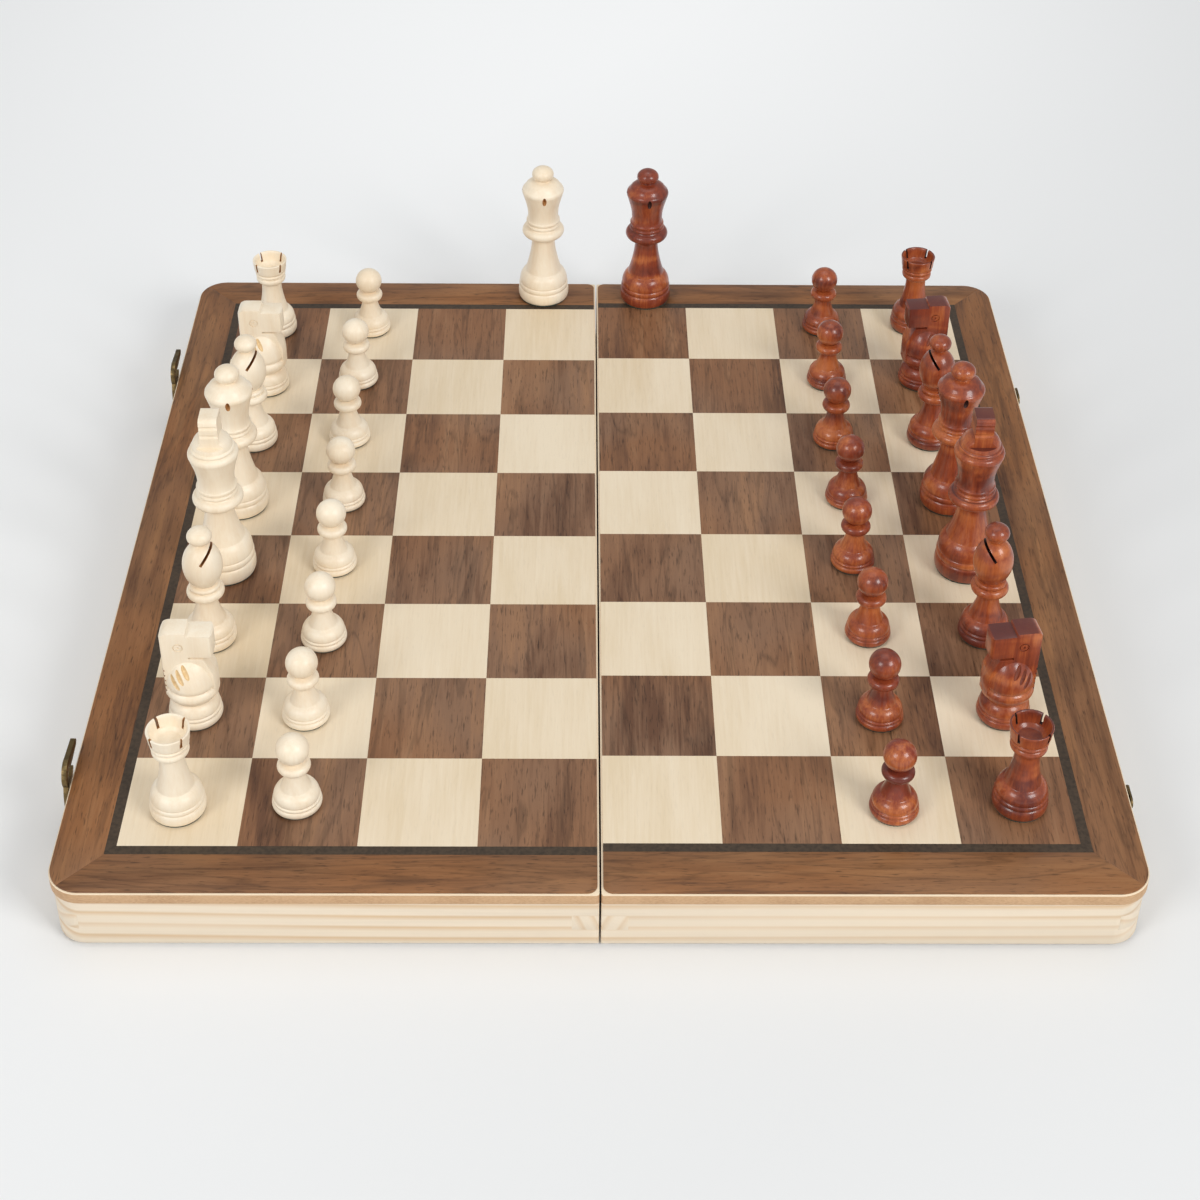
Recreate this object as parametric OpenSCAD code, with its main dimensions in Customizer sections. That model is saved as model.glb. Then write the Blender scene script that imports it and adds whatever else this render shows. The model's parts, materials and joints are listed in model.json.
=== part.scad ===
// Folding chess set, opened flat, with both armies and two spare queens standing on it.
// X runs from the light half to the dark half, Y from the near edge to the far edge, +Z up.
// The fold axis lies along Y at x = 0, level with the rims of the two half boxes.

/* [Board] */
// Side of one square
square = 42.1; // [36:0.1:45]
// Width of the dark line round the playing field
line_w = 3.8; // [2:0.1:6]
// Width of the walnut border outside the line
border_w = 17.6; // [12:0.1:22]
// Width of the bare panel edge outside the border
bare_edge = 0.5; // [0.2:0.1:1]
// Width of the bare panel edge beside the seam
seam_edge = 0.65; // [0.4:0.05:1.5]
// Gap between the two halves along the seam
seam_gap = 0.7; // [0.6:0.1:2]
// How far each half's inlay sits off the middle of its panel, in opposite directions
inlay_shift = 0.8; // [0:0.1:1.5]
// Thickness of the veneers
veneer_t = 0.6; // [0.5:0.1:1]
// Thickness of the core panel under the veneers
panel_t = 4.7; // [3:0.1:5]
// Height of the pine rails
rail_h = 21.2; // [21:0.1:30]
// Thickness of the pine rails
rail_t = 9.5; // [9:0.5:12]
// Overhang of the panel past the rails
overhang = 0.8; // [0.4:0.1:1.5]
// Corner radius at the outer corners of the board
corner_r = 12; // [8:1:16]
// Corner radius of the panels beside the seam
seam_corner_r = 1; // [0.5:0.5:5]
// Corner radius of the border veneer beside the seam
veneer_corner_r = 3.5; // [1:0.5:5]

/* [Hinges] */
// Radius of the hinge knuckles
knuckle_r = 1.5; // [1.4:0.1:1.8]
// Radius of the hinge pins
pin_r = 0.7; // [0.6:0.05:0.8]
// Length of each hinge along the seam
hinge_l = 30; // [24:2:40]
// Distance of each hinge from the middle of the seam
hinge_y = 115; // [90:5:130]
// Width of a hinge leaf
leaf_w = 9; // [8.5:0.5:9]

/* [Latches] */
// Place of the near latch along the outer wall
near_latch_y = -135.5; // [-150:0.5:-100]
// Place of the far latch along the outer wall
far_latch_y = 112.5; // [100:0.5:130]
// Height of the hook pivots above the rim
pivot_h = 5.5; // [5:0.1:6.5]
// Height of the catch studs above the rim
catch_h = 16.3; // [15:0.1:17]
// Width of the hook arm
hook_w = 4; // [3.5:0.5:5]
// How far the hook arm bows out of the straight line
hook_bow = 5; // [3:0.5:6]
// Radius of the stud that the hook catches
stud_r = 1.4; // [1.2:0.1:1.6]

/* [Trays] */
// Thickness of the foam sheet behind the panel
foam_t = 3; // [2:0.5:4]
// Width of the foam ribs
rib_w = 8; // [6:1:10]
// Height of the foam ribs
rib_h = 14; // [10:1:17]

/* [Pieces] */
// Base radius of a pawn
pawn_r = 9; // [8:0.1:10]
// Base radius of a rook, a knight and a bishop
minor_r = 10.1; // [9:0.1:11]
// Base radius of a queen
queen_r = 12; // [11:0.1:13]
// Base radius of a king
king_r = 12.5; // [11:0.1:13]
// Thickness of the felt under each piece
felt_t = 0.8; // [0.5:0.1:1.2]
// Width of the saw cuts in the rooks and the bishops
kerf_w = 1.1; // [0.8:0.1:1.4]
// Thickness of a knight's head
knight_t = 8.6; // [8:0.2:11]

/* [Hidden] */
$fn = 64;

LIGHT = 1;
DARK = -1;
walnut = [0.42, 0.29, 0.21];
maple = [0.88, 0.80, 0.64];
pine = [0.90, 0.78, 0.58];
charcoal = [0.22, 0.22, 0.22];
bronze = [0.33, 0.27, 0.16];
brass = [0.72, 0.58, 0.30];
cream = [0.94, 0.87, 0.74];
redwood = [0.45, 0.16, 0.09];
fold_gap = 0.4;

axis_z = knuckle_r;
rim_z = axis_z + fold_gap / 2;
core_z = rim_z + rail_h;
top_z = core_z + panel_t;
deck_z = top_z + veneer_t;
x0 = seam_gap / 2;
inlay_x = x0 + seam_edge;
field_w = 4 * square;
half_w = seam_edge + field_w + line_w + border_w + bare_edge;
half_d = field_w + line_w + border_w + bare_edge;
wall_x = x0 + half_w - overhang;
wall_y = half_d - overhang;
slack = 0.05;
mitre_gap = 0.03;
leaf_t = 1;
leaf_z = rim_z + 0.1;
groove_r = knuckle_r + 0.5;
segments = 5;
segment_l = hinge_l / segments;
screw_x = 5.6;
screw_y = 9;
screw_r = 1;
screw_l = 9;
plate_t = 1;
plate_gap = 0.7;
hook_t = 1.8;
head_gap = 0.3;
head_t = 0.8;
head_l = 10;
stud_l = plate_t + plate_gap + hook_t + head_gap;
nail_y = 5;
nail_r = 0.7;
nail_l = 6;
hook_x = wall_x + plate_t + plate_gap;
finger_h = rail_h / 3;
pivot_z = rim_z + pivot_h;
catch_z = rim_z + catch_h;
hook_l = pivot_z + catch_z - 2 * axis_z;
tray_w = wall_x - rail_t - x0 - rail_t;
trough_w = (tray_w - 5 * rib_w) / 4;

// ---- board ----

// Outline of one half, seam edge on x = x0; inset draws it smaller all round but the seam
module half_outline(inset, seam_r) {
  w = half_w - inset;
  d = half_d - inset;
  r = corner_r - inset;
  translate([x0, 0]) {
    translate([seam_r, -d]) square([w - seam_r - r, 2 * d]);
    translate([0, seam_r - d]) square([w - r, 2 * (d - seam_r)]);
    translate([w - r - 1, r - d]) square([r + 1, 2 * (d - r)]);
    for (s = [-1, 1]) {
      translate([w - r, s * (d - r)]) circle(r);
      translate([seam_r, s * (d - seam_r)]) circle(seam_r);
    }
  }
}

// The left half repeats the right half, mirrored in the seam
module side_of(dir) {
  if (dir > 0) children();
  else mirror([1, 0, 0]) children();
}

module core_panel(dir) {
  color(maple) side_of(dir)
    translate([0, 0, core_z]) linear_extrude(panel_t) half_outline(0, seam_corner_r);
}

// Everything inlaid in one half shares its small shift along the seam
module inlaid(dir) {
  translate([0, dir * inlay_shift, top_z]) children();
}

// Squares of one colour: the near square beside the left end is light
module squares(dir, tone) {
  color(tone == 0 ? maple : walnut) inlaid(dir)
    for (i = [0:3], j = [0:7])
      if ((i + j + (dir > 0 ? 0 : 1)) % 2 == tone)
        translate([dir > 0 ? inlay_x + i * square : -inlay_x - (i + 1) * square, (j - 4) * square, 0])
          cube([square, square, veneer_t]);
}

// Three mitred strips round three sides of a rectangle, a hairline apart at the mitres
module mitred_strips(w_in, d_in, t) {
  w_out = w_in + t;
  d_out = d_in + t;
  g = mitre_gap;
  linear_extrude(veneer_t)
    polygon([[w_in, d_in - g], [w_out, d_out - g], [w_out, g - d_out], [w_in, g - d_in]]);
  for (s = [-1, 1])
    linear_extrude(veneer_t)
      polygon([[inlay_x, s * d_in], [inlay_x, s * d_out], [w_out, s * d_out], [w_in, s * d_in]]);
}

module line_inlay(dir) {
  color(charcoal) inlaid(dir) side_of(dir) mitred_strips(inlay_x + field_w, field_w, line_w);
}

// Outline of one half's veneer, a little inside its panel
module veneer_outline() {
  intersection() {
    half_outline(bare_edge, 0.5);
    translate([seam_edge, 0]) half_outline(bare_edge, veneer_corner_r);
  }
}

module border_veneer(dir) {
  color(walnut) intersection() {
    inlaid(dir) side_of(dir)
      mitred_strips(inlay_x + field_w + line_w, field_w + line_w, border_w + 2);
    side_of(dir) translate([0, 0, top_z - 1]) linear_extrude(veneer_t + 2) veneer_outline();
  }
}

// Rail blanks cut to the frame's outline
module frame_cut() {
  intersection() {
    children();
    translate([0, 0, rim_z]) linear_extrude(rail_h) half_outline(overhang, 0.5);
  }
}

// Front and back rails: their top and bottom fingers pass the side rails
module end_rails(dir) {
  color(pine) side_of(dir) frame_cut() for (s = [-1, 1]) difference() {
    translate([x0, s > 0 ? wall_y - rail_t : -wall_y, rim_z])
      cube([wall_x - x0, rail_t, rail_h]);
    for (x = [x0, wall_x - rail_t])
      translate([x, s > 0 ? wall_y - rail_t : -wall_y, rim_z + finger_h])
        cube([rail_t, rail_t, finger_h]);
  }
}

// Seam and outer rails: full height between the end rails, with one middle finger at each end
module side_rails(dir) {
  color(pine) side_of(dir) difference() {
    frame_cut() for (x = [x0, wall_x - rail_t]) {
      translate([x, rail_t - wall_y, rim_z]) cube([rail_t, 2 * (wall_y - rail_t), rail_h]);
      translate([x, -wall_y, rim_z + finger_h]) cube([rail_t, 2 * wall_y, finger_h]);
    }
    for (s = [-1, 1]) {
      hinge_mortise(s * hinge_y);
      for (k = [-1, 1]) screw_bore(s * hinge_y + k * screw_y);
    }
    for (y = [near_latch_y, far_latch_y], k = [-1, 1])
      translate([wall_x - nail_l, y + k * nail_y, dir < 0 ? pivot_z : catch_z]) rotate([0, 90, 0])
        cylinder(h = nail_l + 1, r = nail_r + slack);
  }
}

module hinge_mortise(y) {
  l = hinge_l + 2 * slack;
  translate([x0 - 1, y - l / 2, rim_z - 1]) cube([leaf_w - x0 + 1 + slack, l, leaf_t + 1 + 0.1 + slack]);
  translate([0, y - l / 2, axis_z]) rotate([-90, 0, 0]) cylinder(h = l, r = groove_r);
}

module screw_bore(y) {
  translate([screw_x, y, leaf_z]) cylinder(h = screw_l + slack, r = screw_r + slack);
}

// Foam sheet behind the panel with five ribs, which leave four troughs for the pieces
module foam_tray(dir) {
  x_in = x0 + rail_t;
  d = wall_y - rail_t;
  color(charcoal) side_of(dir) {
    translate([x_in, -d, core_z - foam_t]) cube([tray_w, 2 * d, foam_t]);
    for (i = [0:4])
      translate([x_in + i * (rib_w + trough_w), -d, core_z - foam_t - rib_h])
        cube([rib_w, 2 * d, rib_h]);
  }
}

// ---- hinges ----

// Leaves of one half: odd knuckles belong to the left half, even ones to the right
module hinge_leaves(dir) {
  first = dir < 0 ? 0 : 1;
  color(brass) for (s = [-1, 1]) translate([0, s * hinge_y - hinge_l / 2, 0]) difference() {
    union() {
      side_of(dir) translate([groove_r, 0, leaf_z]) cube([leaf_w - groove_r, hinge_l, leaf_t]);
      for (i = [first:2:segments - 1]) translate([0, i * segment_l + 0.15, 0]) {
        side_of(dir) translate([0, 0, leaf_z])
          cube([groove_r + 0.5, segment_l - 0.3, leaf_t]);
        translate([0, 0, axis_z]) rotate([-90, 0, 0])
          cylinder(h = segment_l - 0.3, r = knuckle_r);
      }
    }
    translate([0, -1, axis_z]) rotate([-90, 0, 0])
      cylinder(h = hinge_l + 2, r = pin_r + slack);
    for (k = [-1, 1]) translate([dir * screw_x, hinge_l / 2 + k * screw_y, leaf_z])
      screw_shape(slack, 1);
  }
}

// Countersunk screw, head down
module screw_shape(grow, over) {
  translate([0, 0, -over]) cylinder(h = over + 0.05, r = screw_r + 0.7 + grow);
  translate([0, 0, 0.05]) cylinder(h = 0.8, r1 = screw_r + 0.7 + grow, r2 = screw_r + grow);
  cylinder(h = screw_l, r = screw_r + grow);
}

module hinge_screws(dir) {
  color(brass) for (s = [-1, 1], k = [-1, 1])
    translate([dir * screw_x, s * hinge_y + k * screw_y, leaf_z]) difference() {
      screw_shape(0, 0);
      translate([-2, -0.2, -0.1]) cube([4, 0.4, 0.35]);
    }
}

module hinge_pins() {
  color(brass) for (s = [-1, 1]) translate([0, s * hinge_y - hinge_l / 2, axis_z])
    rotate([-90, 0, 0]) cylinder(h = hinge_l, r = pin_r);
}

// ---- latches on the outer walls; drawn on the right wall, pointing out ----

// Rounded bar lying on the wall side, l long along Y and h high
module oval_bar(l, h, t) {
  rotate([0, 90, 0]) linear_extrude(t) {
    square([h, l - h], center = true);
    for (k = [-1, 1]) translate([0, k * (l - h) / 2]) circle(h / 2);
  }
}

module nail_holes(y, z) {
  for (k = [-1, 1]) translate([wall_x - 1, y + k * nail_y, z]) rotate([0, 90, 0])
    cylinder(h = plate_t + 2, r = nail_r + slack);
}

// Left wall: a plate with the pivot post on which the hook turns
module latch_plates() {
  color(bronze) side_of(-1) for (y = [near_latch_y, far_latch_y]) difference() {
    translate([wall_x, y, pivot_z]) {
      oval_bar(17, 7.4, plate_t);
      rotate([0, 90, 0]) cylinder(h = stud_l, r = stud_r);
      rotate([0, 90, 0]) cylinder(h = plate_t + plate_gap - head_gap, r = stud_r + 1);
      translate([stud_l, 0, 0]) rotate([0, 90, 0]) cylinder(h = head_t, r = stud_r + 1);
    }
    nail_holes(y, pivot_z);
  }
}

// Right wall: a plate with a stud, whose long head keeps the hook from slipping off
module catch_plates() {
  color(bronze) for (y = [near_latch_y, far_latch_y]) difference() {
    translate([wall_x, y, catch_z]) {
      oval_bar(15, 7, plate_t);
      rotate([0, 90, 0]) cylinder(h = stud_l, r = stud_r);
      translate([stud_l, 0, 0]) oval_bar(head_l, 4.6, head_t);
    }
    nail_holes(y, catch_z);
  }
}

module plate_nails(dir) {
  color(bronze) side_of(dir) for (y = [near_latch_y, far_latch_y], k = [-1, 1])
    translate([wall_x, y + k * nail_y, dir < 0 ? pivot_z : catch_z]) rotate([0, 90, 0]) {
      translate([0, 0, -nail_l + slack]) cylinder(h = nail_l + plate_t, r = nail_r);
      translate([0, 0, plate_t]) cylinder(h = 0.3, r = nail_r + 0.5);
    }
}

// Loose fasteners of one half: hinge screws and the round-headed nails of the wall plates
module fasteners(dir) {
  hinge_screws(dir);
  plate_nails(dir);
}

// Arm that leaves the pivot, bows towards the near edge and ends at the claw, hook_l above
module bowed_arm() {
  bow_r = (hook_l * hook_l / 4 + hook_bow * hook_bow) / (2 * hook_bow);
  intersection() {
    translate([bow_r - hook_bow, hook_l / 2]) difference() {
      circle(bow_r + hook_w / 2, $fn = 96);
      circle(bow_r - hook_w / 2, $fn = 96);
    }
    translate([-hook_l, 0]) square([hook_l, hook_l]);
  }
}

// Hook, raised beside the open board: claw with a finger tab on top, mouth towards the far edge
module hook(y) {
  claw_r = 5.6;
  mouth_r = stud_r + fold_gap;
  tab_l = 12.2;
  tab_r = 1.4;
  color(bronze) translate([-hook_x - hook_t, y, pivot_z])
    rotate([90, 0, 90]) linear_extrude(hook_t) difference() {
      union() {
        circle(hook_w / 2 + 0.9);
        bowed_arm();
        translate([0, hook_l]) circle(claw_r);
        hull() {
          translate([-0.4, hook_l + 3]) circle(2.6);
          translate([tab_l, hook_l + 2.9]) circle(tab_r);
        }
      }
      circle(stud_r + slack);
      translate([0, hook_l]) circle(mouth_r);
      translate([0, hook_l - mouth_r]) square([claw_r + 1, 1.5 * mouth_r]);
    }
}

// ---- pieces: turned profiles as [radius, height] ----

// Points along an ellipse arc round [r, z], from angle a0 to a1
function arc(r, z, rr, rz, a0, a1, n) =
  [for (i = [0:n]) let (a = a0 + (a1 - a0) * i / n) [r + rr * cos(a), z + rz * sin(a)]];

// Base disc, bead and bulge with a groove between each two: low is the upper groove's height
// and top the height of the ledge that ends the bulge
function foot(r, low, top) = let (mid = 0.69 * low) concat(
  [[0, felt_t], [r - 0.6, felt_t]],
  arc(r - 0.8, (felt_t + mid) / 2, 0.8, (mid - felt_t) / 2, -60, 70, 5),
  [[r - 0.85, mid + 0.15]],
  arc(r - 0.95, (mid + low) / 2 + 0.1, 0.6, (low - mid) / 2 - 0.1, -70, 70, 3),
  [[r - 0.95, low + 0.15]],
  arc(r - 5.5, low + 0.5, 4.8, (top - low - 0.5) / sin(62), 0, 62, 6),
  [[r - 3.5, top + 0.25]]);

// Flared stem from [r0, z0] up to [r1, z1], steep at its top
function stem(r0, z0, r1, z1) =
  [for (i = [1:6]) let (s = i / 6) [r1 + (r0 - r1) * pow(1 - s, 1.7), z0 + (z1 - z0) * s]];

function pawn_profile(r) = concat(
  foot(r, 4.8, 9.2), stem(r - 3.5, 9.6, 3.4, 17.6),
  arc(4.3, 19.6, 1.7, 1.9, -75, 90, 6), [[4, 21.6]],
  arc(0, 27.3, 6, 5.8, -68, 90, 12));

// Floor of the cup inside a rook's turret
cup_z = 33.4;

function rook_profile(r) = concat(
  foot(r, 7.3, 12.4), stem(r - 3.5, 12.9, 4.5, 25.6),
  [[4.6, 27.4]],
  arc(5.2, 30, 1.5, 1.6, -75, 70, 6), [[6.1, 31.8]],
  arc(6.3, 32.7, 0.6, 0.7, -80, 80, 3),
  [[6.6, 33.7], [7.1, 34.2], [7.4, 36.4], [7.8, 39.2], [7.6, 39.5], [7, 39.4]],
  [[6.6, 38.6], [6.2, 36.2], [5.7, 34.8], [4.4, cup_z + 0.2], [0, cup_z]]);

function bishop_profile(r) = concat(
  foot(r, 6.2, 10.8), stem(r - 3.5, 11.3, 3.9, 22), [[4.4, 22.8]],
  arc(5.5, 25, 1.8, 2, -80, 80, 6),
  arc(5.2, 28, 0.9, 1, -70, 80, 4),
  arc(0, 38, 7.7, 10.6, -56, 75, 13), [[2.4, 48.6]],
  arc(0, 51.8, 4.8, 3.6, -58, 90, 9));

// Collar, two rings and a flared crown, shared by queens and kings
function crown(z, r) = concat(
  arc(r - 2.2, z + 2.8, 2.3, 2.3, -80, 80, 7),
  arc(r - 2.6, z + 6.5, 0.9, 0.9, -70, 70, 4),
  arc(r - 2.4, z + 8.6, 0.5, 0.8, -80, 80, 3),
  [[r - 2.7, z + 10.5], [r - 2.5, z + 14.5], [r - 1.7, z + 18.5], [r - 0.6, z + 22.3]],
  arc(r - 1.8, z + 24.6, 1.8, 2, -30, 60, 5));

function queen_profile(r) = concat(
  foot(r, 8.9, 15.2), stem(r - 3.5, 15.7, 5.3, 33), [[5.8, 34.4]],
  crown(34.4, 9.8), [[8.4, 61.5], [8.2, 61.7], [7.9, 62.3], [6.8, 63.3], [5.2, 64.1], [3.9, 64.5]],
  arc(0, 67.6, 5.1, 3.7, -48, 90, 9));

function king_profile(r) = concat(
  foot(r, 10.4, 17.6), stem(r - 3.5, 18.1, 5.6, 33.6), [[6, 34.8]],
  crown(34.8, 10), [[8.8, 61.3]], arc(8, 62.3, 0.8, 0.8, -60, 70, 4), [[7.9, 63.2]],
  arc(0, 62.6, 8, 7.2, 8, 90, 10));

module turned(profile) {
  rotate_extrude() polygon(profile);
}

module felt(r) {
  color(charcoal) cylinder(h = felt_t - slack, r = r - 0.8);
}

module pawn(tone) {
  felt(pawn_r);
  color(tone > 0 ? cream : redwood) turned(pawn_profile(pawn_r));
}

// Four saw cuts through the rim of the turret
module rook(tone) {
  felt(minor_r);
  color(tone > 0 ? cream : redwood) difference() {
    turned(rook_profile(minor_r));
    for (a = [0, 90]) rotate(a + 45) translate([-10, -kerf_w / 2, cup_z + 2]) cube([20, kerf_w, 6]);
  }
}

// One slanting cut into the mitre, on the side that faces the enemy
module bishop(tone) {
  felt(minor_r);
  color(tone > 0 ? cream : redwood) difference() {
    turned(bishop_profile(minor_r));
    translate([tone * 0.5, 0, 42.4]) rotate([0, tone * 38, 0])
      translate([-kerf_w / 2, -12, 0]) cube([kerf_w, 24, 12]);
  }
}

// Four tall notches under the rim of the crown
module queen(tone) {
  felt(queen_r);
  color(tone > 0 ? cream : redwood) difference() {
    turned(queen_profile(queen_r));
    for (a = [0:90:270]) rotate(a - 85) translate([8.4, 0, 57.2]) rotate([0, 90, 0])
      scale([2.6, 1, 1]) cylinder(h = 4, r = 1);
  }
}

// The king's cross rises from the domed top of the crown
cross_z = 64.6;
cross_w = 10.4;
cross_h = 13.6;
cross_t = 7.2;
cross_r = 2.4;
bite_r = 1;
shelf_z = 65;

// Cross sawn from a block, with round bites across both narrow sides, which cut the dome flat
module king(tone) {
  felt(king_r);
  color(tone > 0 ? cream : redwood) {
    difference() {
      turned(king_profile(king_r));
      for (s = [0, 180]) rotate(s) translate([-king_r, cross_w / 2, shelf_z])
        cube([2 * king_r, cross_w, 10]);
    }
    translate([0, 0, cross_z]) rotate([90, 0, 90]) linear_extrude(cross_t, center = true)
      difference() {
        union() {
          translate([-cross_w / 2, 0]) square([cross_w, cross_h - cross_r]);
          translate([-cross_w / 2 + cross_r, 0]) square([cross_w - 2 * cross_r, cross_h]);
          for (s = [-1, 1]) translate([s * (cross_w / 2 - cross_r), cross_h - cross_r]) circle(cross_r);
        }
        for (s = [-1, 1], z = [6.1, 10.1])
          translate([s * (cross_w / 2 + 0.4), z]) circle(bite_r);
      }
  }
}

// Turned body of a knight: foot, bead and a dome that the head stands in
function knight_profile(r) = concat(
  foot(r, 5.6, 10.6), [[r - 2, 11.6], [r - 1.4, 12.4]],
  arc(r - 2.3, 15.2, 2.2, 2.6, -60, 62, 6), [[r - 0.9, 17.8]],
  arc(0, 18, r - 0.5, 13.6, 4, 90, 12));

// Side view of the sawn head facing +X: chest, mouth cut, muzzle, step up to the poll, mane
head_top = 43.8;
muzzle_top = 42.6;
mouth_z = 31.6;
mouth_h = 1;
knight_outline = concat(
  [[-12, 14], [9.7, 14], [9.9, 20.5], [8.9, 24.3], [7.6, 27.6], [6.4, 30.6], [5.6, mouth_z]],
  [[0.5, mouth_z], [0.5, mouth_z + mouth_h]],
  arc(8.4, mouth_z + mouth_h + 1.4, 1.4, 1.4, -90, 0, 3),
  [[9.9, 38]], arc(8.6, muzzle_top - 1.2, 1.3, 1.2, 0, 90, 3),
  [[0.5, muzzle_top], [0.2, head_top], [-6.4, head_top]],
  arc(-6.4, head_top - 3.6, 3.6, 3.6, 90, 180, 5), [[-12, head_top - 3.6]]);

// Turned body with the flat-sided head standing in it, an eye ring on each side and mane cuts
module knight(tone) {
  felt(minor_r);
  color(tone > 0 ? cream : redwood) mirror([tone > 0 ? 0 : 1, 0, 0]) difference() {
    union() {
      turned(knight_profile(minor_r));
      intersection() {
        rotate([90, 0, 0]) linear_extrude(knight_t, center = true) polygon(knight_outline);
        cylinder(h = head_top + 1, r = minor_r - 0.1);
      }
    }
    for (s = [-1, 1]) translate([-2.8, s * knight_t / 2, 37.3]) rotate([90, 0, 0])
      difference() {
        cylinder(h = 0.8, r = 1.9, center = true);
        cylinder(h = 1, r = 1.4, center = true);
      }
    for (z = [18:2.4:28]) translate([-11.4, 0, z]) rotate([0, 35, 0])
      cube([6, 30, 0.8], center = true);
  }
}

// ---- where the pieces stand ----

// Back rank from the near edge to the far edge
back_rank = ["rook", "knight", "bishop", "king", "queen", "bishop", "knight", "rook"];
back_names = ["rook_near", "knight_near", "bishop_near", "king",
              "queen", "bishop_far", "knight_far", "rook_far"];
// How far each piece stands off the middle of its square, set down by hand
light_back_off = [[-2, -3.5], [-2.6, 1.5], [-3, 1], [-3, 0.6], [-2.5, -0.5], [-2, 1.5], [-1.5, 0], [-3, 3]];
light_pawn_off = [[-2, -1], [-3.5, 0.5], [-1, 0.5], [-1, 2.5], [-1, 1.5], [-2.5, 3], [-2.5, 4.5], [0, 4]];
dark_back_off = [[2.4, -2], [3.6, 1], [3, 3], [1.5, 1.5], [0.5, 2], [-1.5, 2.5], [0, 4.5], [1.5, 7]];
dark_pawn_off = [[-1, -5], [-1, -1], [-0.5, 2.5], [-2, 3.5], [-0.5, 2.5], [-2, 1.5], [-1, 3.5], [0.5, 5]];
light_spare_at = [-25.3, 180.6];
dark_spare_at = [23.8, 178.6];
// How far the near and the far dark knight are turned round on their squares
dark_knight_turn = [8, 5];

function file_x(tone, from_edge) = -tone * (inlay_x + (3.5 - from_edge) * square);
function row_y(tone, j) = (j - 3.5) * square - tone * inlay_shift;
function turn_of(tone, j) =
  tone > 0 ? 0 : j == 1 ? dark_knight_turn[0] : j == 6 ? dark_knight_turn[1] : 0;

module piece(kind, tone) {
  if (kind == "rook") rook(tone);
  if (kind == "knight") knight(tone);
  if (kind == "bishop") bishop(tone);
  if (kind == "queen") queen(tone);
  if (kind == "king") king(tone);
  if (kind == "pawn") pawn(tone);
}

module back_piece(tone, j) {
  off = tone > 0 ? light_back_off[j] : dark_back_off[j];
  translate([file_x(tone, 0) + off[0], row_y(tone, j) + off[1], deck_z])
    rotate(turn_of(tone, j)) piece(back_rank[j], tone);
}

module front_pawn(tone, j) {
  off = tone > 0 ? light_pawn_off[j] : dark_pawn_off[j];
  translate([file_x(tone, 1) + off[0], row_y(tone, j) + off[1], deck_z]) piece("pawn", tone);
}

module spare_queen(tone) {
  at = tone > 0 ? light_spare_at : dark_spare_at;
  translate([at[0], at[1], deck_z]) piece("queen", tone);
}

core_panel(-1);  // left_panel
core_panel(1);  // right_panel
squares(-1, 1);  // left_dark_squares
squares(-1, 0);  // left_light_squares
squares(1, 1);  // right_dark_squares
squares(1, 0);  // right_light_squares
line_inlay(-1);  // left_line
line_inlay(1);  // right_line
border_veneer(-1);  // left_border
border_veneer(1);  // right_border
end_rails(-1);  // left_end_rails
side_rails(-1);  // left_side_rails
end_rails(1);  // right_end_rails
side_rails(1);  // right_side_rails
foam_tray(-1);  // left_foam_tray
foam_tray(1);  // right_foam_tray
hinge_leaves(-1);  // left_hinge_leaves
hinge_leaves(1);  // right_hinge_leaves
hinge_pins();
fasteners(-1);  // left_fasteners
fasteners(1);  // right_fasteners
latch_plates();
hook(near_latch_y);  // near_hook
hook(far_latch_y);  // far_hook
catch_plates();
for (j = [0:7]) {
  back_piece(LIGHT, j);
  back_piece(DARK, j);
  front_pawn(LIGHT, j);
  front_pawn(DARK, j);
}
spare_queen(LIGHT);  // light_spare_queen
spare_queen(DARK);  // dark_spare_queen
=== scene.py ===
import json
import math

import bmesh
import bpy
from mathutils import Matrix, Vector

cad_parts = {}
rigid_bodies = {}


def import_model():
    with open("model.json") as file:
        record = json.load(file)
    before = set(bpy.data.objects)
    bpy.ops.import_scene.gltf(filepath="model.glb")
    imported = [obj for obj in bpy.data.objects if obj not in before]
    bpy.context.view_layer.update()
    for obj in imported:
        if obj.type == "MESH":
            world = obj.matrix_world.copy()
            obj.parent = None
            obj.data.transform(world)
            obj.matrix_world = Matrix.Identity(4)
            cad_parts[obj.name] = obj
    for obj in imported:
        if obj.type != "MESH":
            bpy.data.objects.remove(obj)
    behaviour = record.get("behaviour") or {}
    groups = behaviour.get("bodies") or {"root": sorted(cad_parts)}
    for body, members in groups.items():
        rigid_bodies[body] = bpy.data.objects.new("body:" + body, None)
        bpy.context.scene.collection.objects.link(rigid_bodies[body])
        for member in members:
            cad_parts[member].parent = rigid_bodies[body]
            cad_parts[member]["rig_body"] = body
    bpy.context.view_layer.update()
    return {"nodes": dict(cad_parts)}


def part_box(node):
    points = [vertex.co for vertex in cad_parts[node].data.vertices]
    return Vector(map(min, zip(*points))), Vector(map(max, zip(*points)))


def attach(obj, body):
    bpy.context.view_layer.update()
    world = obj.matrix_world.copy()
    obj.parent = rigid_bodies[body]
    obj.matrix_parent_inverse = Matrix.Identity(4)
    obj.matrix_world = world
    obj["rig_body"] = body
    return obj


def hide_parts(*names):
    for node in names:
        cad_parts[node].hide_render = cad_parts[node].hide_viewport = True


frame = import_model()
NODES = frame["nodes"]
MM = 0.001

# ---- sizes shared with the CAD model, in millimetres ----

SQUARE = 42.1
LINE_W = 3.8
INLAY_X = 1.0
INLAY_SHIFT = 0.8
FIELD = 4 * SQUARE
RIM_Z = 1.7
RAIL_H = 21.2
CORE_Z = RIM_Z + RAIL_H
TOP_Z = CORE_Z + 4.7
DECK_Z = TOP_Z + 0.6
FELT_T = 0.75
KERF_W = 1.1

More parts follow.
